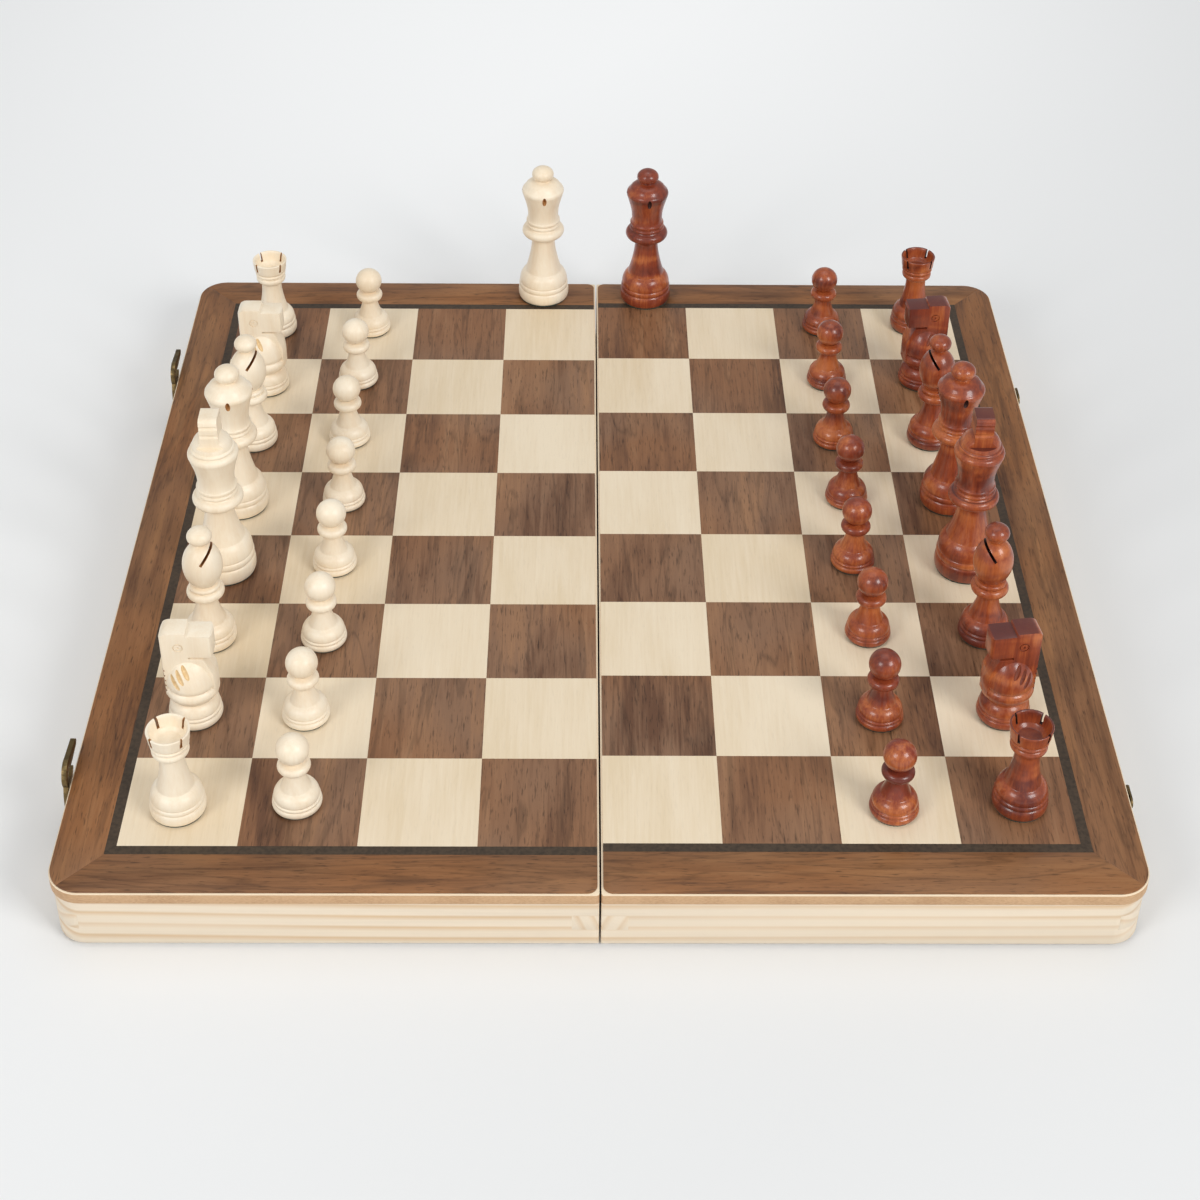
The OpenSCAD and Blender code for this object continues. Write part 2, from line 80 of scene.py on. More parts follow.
PAWN_R = 9
MINOR_R = 10.1
QUEEN_R = 12
KING_R = 12.5
FOOT_Z = 0.8
CUP_Z = 33.4

HEAD_T = 8.6
HEAD_TOP = 43.8
MUZZLE_TOP = 42.6
MOUTH_Z = 31.6
MOUTH_H = 1.0

TURNS = 72
ROUND_OFF = 0.3

# ---- colours, as they look on a screen from 0 to 255 ----

WALNUT = (137, 96, 66)
WALNUT_GREY = (134, 104, 82)
WALNUT_PALE = (156, 116, 84)
WALNUT_DARK = (100, 68, 48)
BORDER = (139, 92, 54)
BORDER_GREY = (132, 94, 64)
BORDER_PALE = (158, 112, 72)
BORDER_DARK = (96, 62, 38)
MAPLE = (233, 215, 186)
MAPLE_PALE = (238, 222, 195)
MAPLE_DARK = (226, 206, 173)
DYED = (74, 61, 48)
DYED_DARK = (58, 48, 38)
CORE = (206, 168, 128)
CORE_DARK = (184, 144, 104)
# Pale colour of the painted highlight along the top edge of the panel core
CORE_EDGE_HIGHLIGHT = (240, 220, 190)
PINE = (231, 215, 192)
PINE_LATE = (216, 186, 148)
FOAM = (48, 48, 50)
FOAM_PALE = (66, 66, 68)
BRASS = (190, 158, 92)
BRASS_RUB = (220, 190, 120)
BRASS_DARK = (150, 120, 66)
BRONZE = (104, 88, 60)
BRONZE_RUB = (164, 140, 96)
BRONZE_DARK = (56, 47, 34)
CREAM = (247, 232, 207)
CREAM_PALE = (250, 239, 218)
CREAM_DARK = (240, 220, 190)
CREAM_SCOOP = (240, 216, 172)
CREAM_SCOOP_DARK = (224, 190, 136)
SCORCH = (196, 142, 84)
SCORCH_DARK = (146, 96, 50)
RED = (160, 77, 40)
RED_PALE = (194, 110, 58)
RED_DARK = (104, 43, 30)
RED_DEEP = (130, 50, 29)
RED_END = (84, 36, 32)
RED_SCOOP = (140, 64, 34)
RED_SCOOP_DARK = (112, 48, 26)
# Colours inside the dark army's cuts: partly scorch, partly painted shade darkening the cut faces
RED_CUT_SHADE = (62, 22, 14)
RED_CUT_SHADE_DARK = (44, 14, 10)
FELT = (52, 70, 58)
FELT_DARK = (36, 50, 42)
# Floor colours: the second is painted shade for the front right of the floor, where the lamps fall off
FLOOR = (246, 247, 247)
FLOOR_PAINTED_SHADE = (229, 230, 230)


def linear(rgb):
    """A screen colour as the linear colour that a shader takes."""
    out = []
    for value in rgb:
        c = value / 255
        out.append(c / 12.92 if c <= 0.04045 else ((c + 0.055) / 1.055) ** 2.4)
    return (*out, 1.0)


# ---- material helpers ----


class Shader:
    """A node material under construction."""

    def __init__(self, name):
        self.material = bpy.data.materials.new(name)
        self.material.use_nodes = True
        self.tree = self.material.node_tree
        self.bsdf = self.tree.nodes["Principled BSDF"]

    def node(self, kind, **settings):
        made = self.tree.nodes.new(kind)
        for key, value in settings.items():
            setattr(made, key, value)
        return made

    def link(self, source, target):
        self.tree.links.new(source, target)

    def place(self):
        """Object coordinates."""
        return self.node("ShaderNodeTexCoord").outputs["Object"]

    def mapped(self, vector, scale):
        made = self.node("ShaderNodeMapping")
        made.inputs["Scale"].default_value = scale
        self.link(vector, made.inputs["Vector"])
        return made.outputs["Vector"]

    def split(self, vector):
        made = self.node("ShaderNodeSeparateXYZ")
        self.link(vector, made.inputs["Vector"])
        return made.outputs

    def noise(self, vector, scale, detail=3.0, roughness=0.55, distortion=0.0):
        made = self.node("ShaderNodeTexNoise")
        made.inputs["Scale"].default_value = scale
        made.inputs["Detail"].default_value = detail
        made.inputs["Roughness"].default_value = roughness
        made.inputs["Distortion"].default_value = distortion
        self.link(vector, made.inputs["Vector"])
        return made.outputs["Fac"]

    def ramp(self, factor, stops):
        made = self.node("ShaderNodeValToRGB")
        ramp = made.color_ramp
        while len(ramp.elements) < len(stops):
            ramp.elements.new(0.5)
        for element, (position, colour) in zip(ramp.elements, stops):
            element.position = position
            element.color = linear(colour) if max(colour) > 1 else (*colour, 1.0)
        self.link(factor, made.inputs["Fac"])
        return made.outputs["Color"]

    def fit(self, value, low, high, to_low, to_high):
        made = self.node("ShaderNodeMapRange")
        made.inputs["From Min"].default_value = low
        made.inputs["From Max"].default_value = high
        made.inputs["To Min"].default_value = to_low
        made.inputs["To Max"].default_value = to_high
        self.link(value, made.inputs["Value"])
        return made.outputs["Result"]

    def math(self, operation, a, b=None):
        made = self.node("ShaderNodeMath", operation=operation)
        for socket, value in zip(made.inputs, (a, b)):
            if value is None:
                continue
            if isinstance(value, (int, float)):
                socket.default_value = value
            else:
                self.link(value, socket)
        return made.outputs["Value"]

    def weighted(self, *parts):
        """The sum of (pattern, weight) parts."""
        total = None
        for pattern, weight in parts:
            part = self.math("MULTIPLY", pattern, weight)
            total = part if total is None else self.math("ADD", total, part)
        return total

    def vector_math(self, operation, a, b):
        made = self.node("ShaderNodeVectorMath", operation=operation)
        for socket, value in zip(made.inputs, (a, b)):
            if isinstance(value, tuple):
                socket.default_value = value
            else:
                self.link(value, socket)
        return made.outputs["Vector"]

    def mix(self, factor, a, b, blend="MIX"):
        made = self.node("ShaderNodeMix", data_type="RGBA", blend_type=blend)
        sockets = [s for s in made.inputs if s.type == "RGBA"]
        if isinstance(factor, (int, float)):
            made.inputs["Factor"].default_value = factor
        else:
            self.link(factor, made.inputs["Factor"])
        for socket, value in zip(sockets, (a, b)):
            if isinstance(value, tuple):
                socket.default_value = linear(value)
            else:
                self.link(value, socket)
        return [s for s in made.outputs if s.type == "RGBA"][0]

    def shifted_by_object(self, vector, spread):
        """Moves the pattern by a different amount on each object."""
        chance = self.node("ShaderNodeObjectInfo").outputs["Random"]
        both = self.node("ShaderNodeCombineXYZ")
        self.link(self.math("MULTIPLY", chance, spread), both.inputs["X"])
        self.link(self.math("MULTIPLY", chance, spread * 0.37), both.inputs["Y"])
        self.link(self.math("MULTIPLY", chance, spread * 0.71), both.inputs["Z"])
        return self.vector_math("ADD", vector, both.outputs["Vector"])

    def bump(self, height, distance, strength=1.0):
        made = self.node("ShaderNodeBump")
        made.inputs["Distance"].default_value = distance
        made.inputs["Strength"].default_value = strength
        self.link(height, made.inputs["Height"])
        return made.outputs["Normal"]

    def surface(self, colour, roughness, normal=None, coat=0.0, coat_roughness=0.1,
                metallic=0.0, specular=0.5, sheen=0.0):
        inputs = self.bsdf.inputs
        self.link(colour, inputs["Base Color"])
        if isinstance(roughness, (int, float)):
            inputs["Roughness"].default_value = roughness
        else:
            self.link(roughness, inputs["Roughness"])
        if normal is not None:
            self.link(normal, inputs["Normal"])
        inputs["Coat Weight"].default_value = coat
        inputs["Coat Roughness"].default_value = coat_roughness
        inputs["Metallic"].default_value = metallic
        inputs["Specular IOR Level"].default_value = specular
        inputs["Sheen Weight"].default_value = sheen
        return self.material


def square_cells(shader, side):
    """Coordinates whose pattern jumps from one square to the next, and a chance value per square."""
    place = shader.place()
    corner = (side * INLAY_X * MM, side * INLAY_SHIFT * MM, 0.0)
    local = shader.vector_math("SUBTRACT", place, corner)
    cell = shader.vector_math("DIVIDE", local, (SQUARE * MM, SQUARE * MM, 1.0))
    split = shader.split(cell)
    both = shader.node("ShaderNodeCombineXYZ")
    for axis in "XY":
        shader.link(shader.math("FLOOR", split[axis]), both.inputs[axis])
    chance = shader.node("ShaderNodeTexWhiteNoise", noise_dimensions="3D")
    shader.link(both.outputs["Vector"], chance.inputs["Vector"])
    jump = shader.vector_math("MULTIPLY", chance.outputs["Color"], (3.0, 3.0, 3.0))
    return shader.vector_math("ADD", local, jump), chance.outputs["Value"]


def walnut_figure(shader, vector, tones, chance=None):
    """Colour, roughness and bump of lacquered walnut veneer with its grain along Y."""
    main, grey_tone, pale_tone, dark_tone = tones
    broad = shader.noise(shader.mapped(vector, (48, 8, 48)), 1.0, 2.0, 0.5, 1.2)
    streak = shader.noise(shader.mapped(vector, (330, 16, 330)), 1.0, 4.0, 0.62, 0.6)
    fibre = shader.noise(shader.mapped(vector, (1500, 60, 1500)), 1.0, 3.0, 0.65)
    pore = shader.noise(shader.mapped(vector, (1700, 150, 1700)), 1.0, 2.0, 0.6)
    tone = shader.weighted((broad, 0.5), (streak, 0.32), (fibre, 0.18))
    grey = shader.fit(shader.noise(vector, 14.0, 1.0), 0.42, 0.58, 0.0, 0.7)
    if chance is not None:
        tone = shader.math("ADD", tone, shader.fit(chance, 0, 1, -0.05, 0.05))
    middle = shader.mix(grey, main, grey_tone)
    dark = shader.mix(shader.fit(tone, 0.36, 0.49, 1.0, 0.0), middle, dark_tone)
    colour = shader.mix(shader.fit(tone, 0.51, 0.66, 0.0, 1.0), dark, pale_tone)
    pores = shader.fit(pore, 0.31, 0.42, 0.5, 1.0)
    colour = shader.mix(1.0, colour, pores, "MULTIPLY")
    ring = shader.noise(shader.mapped(vector, (75, 7, 75)), 1.0, 3.0, 0.5, 1.6)
    off_ring = shader.math("ABSOLUTE", shader.math("SUBTRACT", ring, 0.47))
    colour = shader.mix(1.0, colour, shader.fit(off_ring, 0.0, 0.035, 0.72, 1.0), "MULTIPLY")
    roughness = shader.fit(streak, 0.3, 0.7, 0.34, 0.46)
    return colour, roughness, shader.bump(pores, 0.00003, 0.5)


SQUARE_TONES = (WALNUT, WALNUT_GREY, WALNUT_PALE, WALNUT_DARK)
BORDER_TONES = (BORDER, BORDER_GREY, BORDER_PALE, BORDER_DARK)


def walnut_squares(side):
    shader = Shader("walnut squares " + ("right" if side > 0 else "left"))
    vector, chance = square_cells(shader, side)
    colour, roughness, normal = walnut_figure(shader, vector, SQUARE_TONES, chance)
    return shader.surface(colour, roughness, normal, coat=0.1, coat_roughness=0.3, specular=0.3)


def maple_squares(side):
    shader = Shader("maple squares " + ("right" if side > 0 else "left"))
    vector, chance = square_cells(shader, side)
    broad = shader.noise(shader.mapped(vector, (40, 9, 40)), 1.0, 2.0, 0.5, 0.5)
    fine = shader.noise(shader.mapped(vector, (800, 40, 800)), 1.0, 3.0, 0.6, 0.3)
    fleck = shader.noise(shader.mapped(vector, (1500, 220, 1500)), 1.0, 2.0, 0.5)
    tone = shader.weighted((broad, 0.6), (fine, 0.4))
    tone = shader.math("ADD", tone, shader.fit(chance, 0, 1, -0.06, 0.06))
    colour = shader.ramp(tone, [(0.34, MAPLE_DARK), (0.5, MAPLE), (0.66, MAPLE_PALE)])
    flecks = shader.fit(fleck, 0.30, 0.42, 0.96, 1.0)
    colour = shader.mix(1.0, colour, flecks, "MULTIPLY")
    roughness = shader.fit(fine, 0.3, 0.7, 0.34, 0.44)
    return shader.surface(colour, roughness, shader.bump(fine, 0.00002, 0.5), coat=0.1, coat_roughness=0.3)


def border_walnut():
    """Walnut strips: the grain runs along each strip and turns at the mitres."""
    shader = Shader("walnut border")
    place = shader.place()
    split = shader.split(place)
    half = shader.math("MULTIPLY", shader.math("SIGN", split["X"]), INLAY_SHIFT * MM)
    off_y = shader.math("ABSOLUTE", shader.math("SUBTRACT", split["Y"], half))
    off_x = shader.math("ABSOLUTE", split["X"])
    past_x = shader.math("SUBTRACT", off_x, (INLAY_X + FIELD + LINE_W) * MM)
    past_y = shader.math("SUBTRACT", off_y, (FIELD + LINE_W) * MM)
    is_end = shader.math("GREATER_THAN", past_y, past_x)
    turned = shader.node("ShaderNodeCombineXYZ")
    shader.link(split["Y"], turned.inputs["X"])
    shader.link(split["X"], turned.inputs["Y"])
    shader.link(shader.math("ADD", split["Z"], 3.0), turned.inputs["Z"])
    chosen = shader.node("ShaderNodeMix", data_type="VECTOR")
    shader.link(is_end, chosen.inputs["Factor"])
    sockets = [s for s in chosen.inputs if s.type == "VECTOR"]
    shader.link(place, sockets[-2])
    shader.link(turned.outputs["Vector"], sockets[-1])
    result = [s for s in chosen.outputs if s.type == "VECTOR"][0]
    colour, roughness, normal = walnut_figure(shader, result, BORDER_TONES)
    return shader.surface(colour, roughness, normal, coat=0.1, coat_roughness=0.3, specular=0.3)


def dyed_line():
    shader = Shader("dyed line")
    fine = shader.noise(shader.mapped(shader.place(), (700, 700, 700)), 1.0, 4.0)
    colour = shader.ramp(fine, [(0.35, DYED_DARK), (0.6, DYED)])
    roughness = shader.fit(fine, 0.3, 0.7, 0.36, 0.5)
    return shader.surface(colour, roughness, shader.bump(fine, 0.00002, 0.4), specular=0.3)


def panel_core():
    """Fibreboard core; the top 0.4 mm of its edge is painted pale as a painted highlight on the rounded
    edge.
    """
    shader = Shader("panel core")
    place = shader.place()
    split = shader.split(place)
    fibre = shader.noise(shader.mapped(place, (900, 900, 2600)), 1.0, 4.0, 0.65)
    mottle = shader.noise(place, 60.0, 2.0)
    tone = shader.weighted((fibre, 0.6), (mottle, 0.4))
    colour = shader.ramp(tone, [(0.36, CORE_DARK), (0.58, CORE)])
    # Painted highlight: the top 0.4 mm of the core's edge is painted pale where the rounded edge catches the
    # light
    painted_highlight_band = shader.fit(split["Z"], (TOP_Z - 0.5) * MM, (TOP_Z - 0.4) * MM, 0.0, 1.0)
    colour = shader.mix(painted_highlight_band, colour, CORE_EDGE_HIGHLIGHT)
    return shader.surface(colour, 0.62, shader.bump(fibre, 0.00005, 0.6))


# Growth rings of the rails, in metres: where the pith lies, how far rings wander, rings per metre
PITH_ACROSS = 0.150
PITH_Z = -0.060
RING_WANDER = 0.012
RINGS_PER_METRE = 190.0


def pine(name, along_x):
    """Lacquered pine: growth rings round a line beside the rail, so that ends show their arcs."""
    shader = Shader(name)
    place = shader.place()
    split = shader.split(place)
    stretch = (2.5, 18, 18) if along_x else (18, 2.5, 18)
    wander = shader.noise(shader.mapped(place, stretch), 1.0, 1.0, 0.4)
    across = shader.math("ABSOLUTE", split["Y" if along_x else "X"])
    side = shader.math("SUBTRACT", across, PITH_ACROSS)
    up = shader.math("SUBTRACT", split["Z"], PITH_Z)
    square = shader.math("ADD", shader.math("MULTIPLY", side, side), shader.math("MULTIPLY", up, up))
    distance = shader.math("SQRT", square)
    rings = shader.math("ADD", distance, shader.math("MULTIPLY", wander, RING_WANDER))
    phase = shader.math("FRACT", shader.math("MULTIPLY", rings, RINGS_PER_METRE))
    colour = shader.ramp(phase, [(0.0, PINE), (0.45, PINE), (0.82, PINE_LATE), (1.0, PINE)])
    fine_stretch = (22, 1100, 1100) if along_x else (1100, 22, 1100)
    fine = shader.noise(shader.mapped(place, fine_stretch), 1.0, 3.0, 0.6)
    shade = shader.fit(fine, 0.3, 0.7, 0.96, 1.02)
    patch = shader.noise(shader.mapped(place, (6, 6, 60)), 1.0, 1.0)
    colour = shader.mix(1.0, colour, shade, "MULTIPLY")
    colour = shader.mix(shader.fit(patch, 0.45, 0.65, 0.0, 0.5), colour, PINE)
    roughness = shader.fit(fine, 0.3, 0.7, 0.40, 0.54)
    return shader.surface(colour, roughness, shader.bump(fine, 0.00003, 0.5), coat=0.1, coat_roughness=0.3)


def foam():
    shader = Shader("foam")
    cells = shader.node("ShaderNodeTexVoronoi", feature="F1")
    cells.inputs["Scale"].default_value = 1400.0
    shader.link(shader.place(), cells.inputs["Vector"])
    pits = cells.outputs["Distance"]
    tone = shader.noise(shader.place(), 40.0, 3.0)
    colour = shader.ramp(tone, [(0.3, FOAM), (0.7, FOAM_PALE)])
    return shader.surface(colour, 0.92, shader.bump(pits, 0.0002, 0.6), specular=0.25)


def metal(name, dark, main, rubbed, roughness, scale):
    """Metal that is darker in blotches and rubbed brighter on its edges."""
    shader = Shader(name)
    blotch = shader.noise(shader.place(), scale, 4.0, 0.6)
    fine = shader.noise(shader.place(), scale * 9, 3.0, 0.6)
    colour = shader.ramp(blotch, [(0.32, dark), (0.55, main)])
    edge = shader.node("ShaderNodeNewGeometry").outputs["Pointiness"]
    colour = shader.mix(shader.fit(edge, 0.52, 0.60, 0.0, 0.8), colour, rubbed)
    rough = shader.fit(fine, 0.3, 0.7, roughness - 0.08, roughness + 0.1)
    return shader.surface(colour, rough, shader.bump(fine, 0.00004, 0.4), metallic=1.0)


def cream_wood():
    """Pale turned wood under satin lacquer; the blank's grain stands upright."""
    shader = Shader("cream wood")
    place = shader.shifted_by_object(shader.place(), 4.0)
    broad = shader.noise(shader.mapped(place, (90, 90, 12)), 1.0, 2.0, 0.5, 0.6)
    fine = shader.noise(shader.mapped(place, (1100, 1100, 60)), 1.0, 3.0, 0.6)
    tone = shader.weighted((broad, 0.7), (fine, 0.3))
    colour = shader.ramp(tone, [(0.32, CREAM_DARK), (0.5, CREAM), (0.68, CREAM_PALE)])
    roughness = shader.fit(fine, 0.3, 0.7, 0.36, 0.48)
    return shader.surface(colour, roughness, shader.bump(fine, 0.00002, 0.4), coat=0.15, coat_roughness=0.25)


def red_wood(name, end_grain=False):
    """Stained turned wood under gloss lacquer; each piece differs in tone. Flat tops are end grain."""
    shader = Shader(name)
    own = shader.place()
    place = shader.shifted_by_object(own, 4.0)
    chance = shader.node("ShaderNodeObjectInfo").outputs["Random"]
    broad = shader.noise(shader.mapped(place, (26, 26, 75)), 1.0, 2.0, 0.5, 0.9)
    band = shader.noise(shader.mapped(place, (260, 260, 22)), 1.0, 2.0, 0.5, 0.4)
    fine = shader.noise(shader.mapped(place, (1300, 1300, 80)), 1.0, 3.0, 0.65)
    tone = shader.weighted((broad, 0.58), (band, 0.22), (fine, 0.20))
    middle = shader.mix(shader.fit(chance, 0.35, 0.95, 0.0, 0.9), RED, RED_DEEP)
    colour = shader.mix(shader.fit(tone, 0.39, 0.51, 1.0, 0.0), middle, RED_DARK)
    colour = shader.mix(shader.fit(tone, 0.51, 0.62, 0.0, 0.9), colour, RED_PALE)
    if end_grain:
        facing = shader.split(shader.node("ShaderNodeTexCoord").outputs["Normal"])
        upward = shader.fit(facing["Z"], 0.80, 0.97, 0.0, 1.0)
        high = shader.fit(shader.split(own)["Z"], 0.030, 0.036, 0.0, 0.85)
        colour = shader.mix(shader.math("MULTIPLY", upward, high), colour, RED_END)
    roughness = shader.fit(fine, 0.3, 0.7, 0.28, 0.40)
    return shader.surface(colour, roughness, shader.bump(fine, 0.00003, 0.5), coat=0.4, coat_roughness=0.12,
                          specular=0.4)


def cut_wood(name, dark, pale):
    """Wood inside a saw cut or notch, browned by the tool; the dark army's colours for it also hold painted
    shade.
    """
    shader = Shader(name)
    fine = shader.noise(shader.place(), 900.0, 3.0)
    colour = shader.ramp(fine, [(0.3, dark), (0.7, pale)])
    return shader.surface(colour, 0.6, shader.bump(fine, 0.00003, 0.4))


def felt_cloth():
    shader = Shader("felt")
    fuzz = shader.noise(shader.place(), 2600.0, 4.0, 0.7)
    colour = shader.ramp(fuzz, [(0.3, FELT_DARK), (0.7, FELT)])
    return shader.surface(colour, 0.95, shader.bump(fuzz, 0.0001, 0.8), specular=0.2, sheen=0.4)


CREAM_WOOD = cream_wood()
RED_WOOD = red_wood("red wood")
RED_END_WOOD = red_wood("red wood with end grain", True)
CREAM_CUT = cut_wood("cream cut", SCORCH_DARK, SCORCH)
CREAM_CARVED = cut_wood("cream carved", CREAM_SCOOP_DARK, CREAM_SCOOP)
RED_CARVED = cut_wood("red carved", RED_SCOOP_DARK, RED_SCOOP)
# The dark army's cut faces: browned by the tool and darkened further as painted shade inside the kerfs
RED_CUT_SHADE_WOOD = cut_wood("red cut", RED_CUT_SHADE_DARK, RED_CUT_SHADE)
FELT_CLOTH = felt_cloth()
FOAM_MATERIAL = foam()
BRONZE_METAL = metal("antique bronze", BRONZE_DARK, BRONZE, BRONZE_RUB, 0.42, 260.0)
BRASS_METAL = metal("brass", BRASS_DARK, BRASS, BRASS_RUB, 0.28, 180.0)

# ---- board: the CAD nodes with finishes and eased edges ----


def finish_node(node, material, bevel=0.0):
    """Gives a CAD node its material and an eased edge."""
    obj = NODES[node]
    obj.data.materials.clear()
    obj.data.materials.append(material)
    if bevel:
        weld = obj.modifiers.new("weld", "WELD")
        weld.merge_threshold = 0.000001
        ease = obj.modifiers.new("eased edges", "BEVEL")
        ease.width = bevel * MM
        ease.segments = 2
        ease.limit_method = "ANGLE"
        ease.angle_limit = math.radians(40)
        ease.harden_normals = False
    obj.data.shade_smooth()
    obj.data.set_sharp_from_angle(angle=math.radians(38))


def board():
    core = panel_core()
    border = border_walnut()
    line = dyed_line()
    end_pine = pine("pine end rails", True)
    side_pine = pine("pine side rails", False)
    for side, name in ((-1, "left"), (1, "right")):
        finish_node(name + "_panel", core, 0.5)
        finish_node(name + "_dark_squares", walnut_squares(side))
        finish_node(name + "_light_squares", maple_squares(side))
        finish_node(name + "_line", line)
        finish_node(name + "_border", border, 0.15)
        finish_node(name + "_end_rails", end_pine, 0.35)
        finish_node(name + "_side_rails", side_pine, 0.35)
        finish_node(name + "_hinge_leaves", BRASS_METAL, 0.12)
        finish_node(name + "_fasteners", BRASS_METAL, 0.1)
    finish_node("hinge_pins", BRASS_METAL, 0.15)
    for node in ("latch_plates", "catch_plates", "near_hook", "far_hook"):
        finish_node(node, BRONZE_METAL, 0.25)


# ---- mesh helpers ----


def new_object(name, mesh):
    obj = bpy.data.objects.new(name, mesh)
    bpy.context.scene.collection.objects.link(obj)
    return obj


def mesh_from(bm, name):
    mesh = bpy.data.meshes.new(name)
    bm.to_mesh(mesh)
    bm.free()
    return mesh


def applied(obj):
    """A new mesh with the object's modifiers applied."""
    bpy.context.view_layer.update()
    graph = bpy.context.evaluated_depsgraph_get()
    return bpy.data.meshes.new_from_object(obj.evaluated_get(graph))


def arc(r, z, rr, rz, a0, a1, n):
    """Points along an ellipse arc round (r, z), from angle a0 to a1 in degrees."""
    out = []
    for i in range(n + 1):
        a = math.radians(a0 + (a1 - a0) * i / n)
        out.append((r + rr * math.cos(a), z + rz * math.sin(a)))
    return out


def rounded(points, radius):
    """The same open outline with each sharp corner cut back and rounded."""
    vectors = [Vector(p) for p in points]
    count = len(vectors)
    out = []
    for i, corner in enumerate(vectors):
        if i in (0, count - 1):
            out.append(corner)
            continue
        before = vectors[i - 1] - corner
        after = vectors[i + 1] - corner
        if before.length < 1e-6 or after.length < 1e-6:
            out.append(corner)
            continue
        if before.angle(-after) < math.radians(22):
            out.append(corner)
            continue
        back = min(radius, 0.42 * before.length, 0.42 * after.length)
        start = corner + before.normalized() * back
        end = corner + after.normalized() * back
        for step in range(4):
            t = step / 3
            out.append(start * (1 - t) ** 2 + corner * (2 * t * (1 - t)) + end * t ** 2)
    return [tuple(p) for p in out]


def lathe(profile, turns=TURNS):
    """A mesh turned round Z from (radius, height) points in millimetres, closed at both ends."""
    bm = bmesh.new()
    rings = []
    for r, z in profile:
        if r < 1e-6:
            rings.append([bm.verts.new((0, 0, z * MM))])
            continue
        ring = []
        for i in range(turns):
            a = 2 * math.pi * i / turns
            ring.append(bm.verts.new((r * MM * math.cos(a), r * MM * math.sin(a), z * MM)))
        rings.append(ring)
    for low, high in zip(rings, rings[1:]):
        for i in range(turns):
            j = (i + 1) % turns
            if len(low) == 1:
                bm.faces.new((low[0], high[j], high[i]))
            elif len(high) == 1:
                bm.faces.new((low[i], low[j], high[0]))
            else:
                bm.faces.new((low[i], low[j], high[j], high[i]))
    bmesh.ops.remove_doubles(bm, verts=bm.verts, dist=0.0001 * MM)
    bmesh.ops.recalc_face_normals(bm, faces=bm.faces)
    return mesh_from(bm, "turned")


def prism(outline, depth):
    """A solid from an (x, z) outline in millimetres, depth wide along Y, centred."""
    bm = bmesh.new()
    front = [bm.verts.new((x * MM, -depth / 2 * MM, z * MM)) for x, z in outline]
    back = [bm.verts.new((x * MM, depth / 2 * MM, z * MM)) for x, z in outline]
    bm.faces.new(front)
    bm.faces.new(list(reversed(back)))
    count = len(outline)
    for i in range(count):
        j = (i + 1) % count
        bm.faces.new((front[i], back[i], back[j], front[j]))
    bmesh.ops.recalc_face_normals(bm, faces=bm.faces)
    return mesh_from(bm, "prism")


def tool_mesh(bm, size, matrix, name):
    """Sizes a unit shape and places it by a matrix, both in millimetres."""
    bmesh.ops.scale(bm, vec=size, verts=bm.verts)
    bmesh.ops.transform(bm, matrix=matrix, verts=bm.verts)
    bmesh.ops.scale(bm, vec=(MM, MM, MM), verts=bm.verts)
    return mesh_from(bm, name)


def block(size, matrix):
    """A box of (x, y, z) millimetres placed by a matrix in millimetres."""
    bm = bmesh.new()
    bmesh.ops.create_cube(bm, size=1.0)
    return tool_mesh(bm, size, matrix, "block")


def ball(size, matrix):
    """An ellipsoid of (x, y, z) semi-axes in millimetres placed by a matrix in millimetres."""
    bm = bmesh.new()
    bmesh.ops.create_uvsphere(bm, u_segments=20, v_segments=14, radius=1.0)
    return tool_mesh(bm, size, matrix, "ball")


# The material slot of the faces that each operation leaves, and how many slots a piece has
LEFT_BY = {"DIFFERENCE": 1, "CARVE": 2}
SLOTS = 3


def give_slots(mesh):
    """Stand-in materials, which army_meshes() swaps for each army's own."""
    for _ in range(SLOTS):
        mesh.materials.append(CREAM_WOOD)


def combine(mesh, tools):
    """The mesh after (operation, tool mesh) booleans.

    Faces left by a DIFFERENCE take material 1 and by a CARVE material 2; an ENGRAVE keeps 0.
    """
    body = new_object("workpiece", mesh)
    give_slots(mesh)
    helpers = []
    for operation, tool in tools:
        give_slots(tool)
        for face in tool.polygons:
            face.material_index = LEFT_BY.get(operation, 0)
        helper = new_object("tool", tool)
        helpers.append(helper)
        step = body.modifiers.new("cut", "BOOLEAN")
        step.operation = operation if operation in ("UNION", "INTERSECT") else "DIFFERENCE"
        step.object = helper
        step.solver = "EXACT"
        step.material_mode = "INDEX"
    made = applied(body)
    for helper in helpers + [body]:
        bpy.data.objects.remove(helper)
    return made


def cleaned(mesh):
    """Welds slivers left by booleans and shades the mesh."""
    bm = bmesh.new()
    bm.from_mesh(mesh)
    bmesh.ops.remove_doubles(bm, verts=bm.verts, dist=0.002 * MM)
    bmesh.ops.dissolve_degenerate(bm, edges=bm.edges, dist=0.002 * MM)
    bmesh.ops.recalc_face_normals(bm, faces=bm.faces)
    bm.to_mesh(mesh)
    bm.free()
    mesh.shade_smooth()
    mesh.set_sharp_from_angle(angle=math.radians(33))
    return mesh


# ---- turned profiles, (radius, height) in millimetres ----


def foot(r, low, top):
    """Base disc, bead up to the groove at low, bulge up to the ledge at top."""
    disc = 0.69 * low
    points = [(0, FOOT_Z), (r - 0.6, FOOT_Z)]
    points += arc(r - 0.8, (FOOT_Z + disc) / 2, 0.8, (disc - FOOT_Z) / 2, -60, 70, 10)
    points += [(r - 0.85, disc + 0.15)]
    points += arc(r - 0.95, (disc + low) / 2 + 0.1, 0.6, (low - disc) / 2 - 0.1, -70, 70, 8)
    points += [(r - 0.95, low + 0.15)]
    points += arc(r - 5.5, low + 0.5, 4.8, (top - low - 0.5) / math.sin(math.radians(62)), 0, 62, 16)
    return points + [(r - 3.5, top + 0.25)]


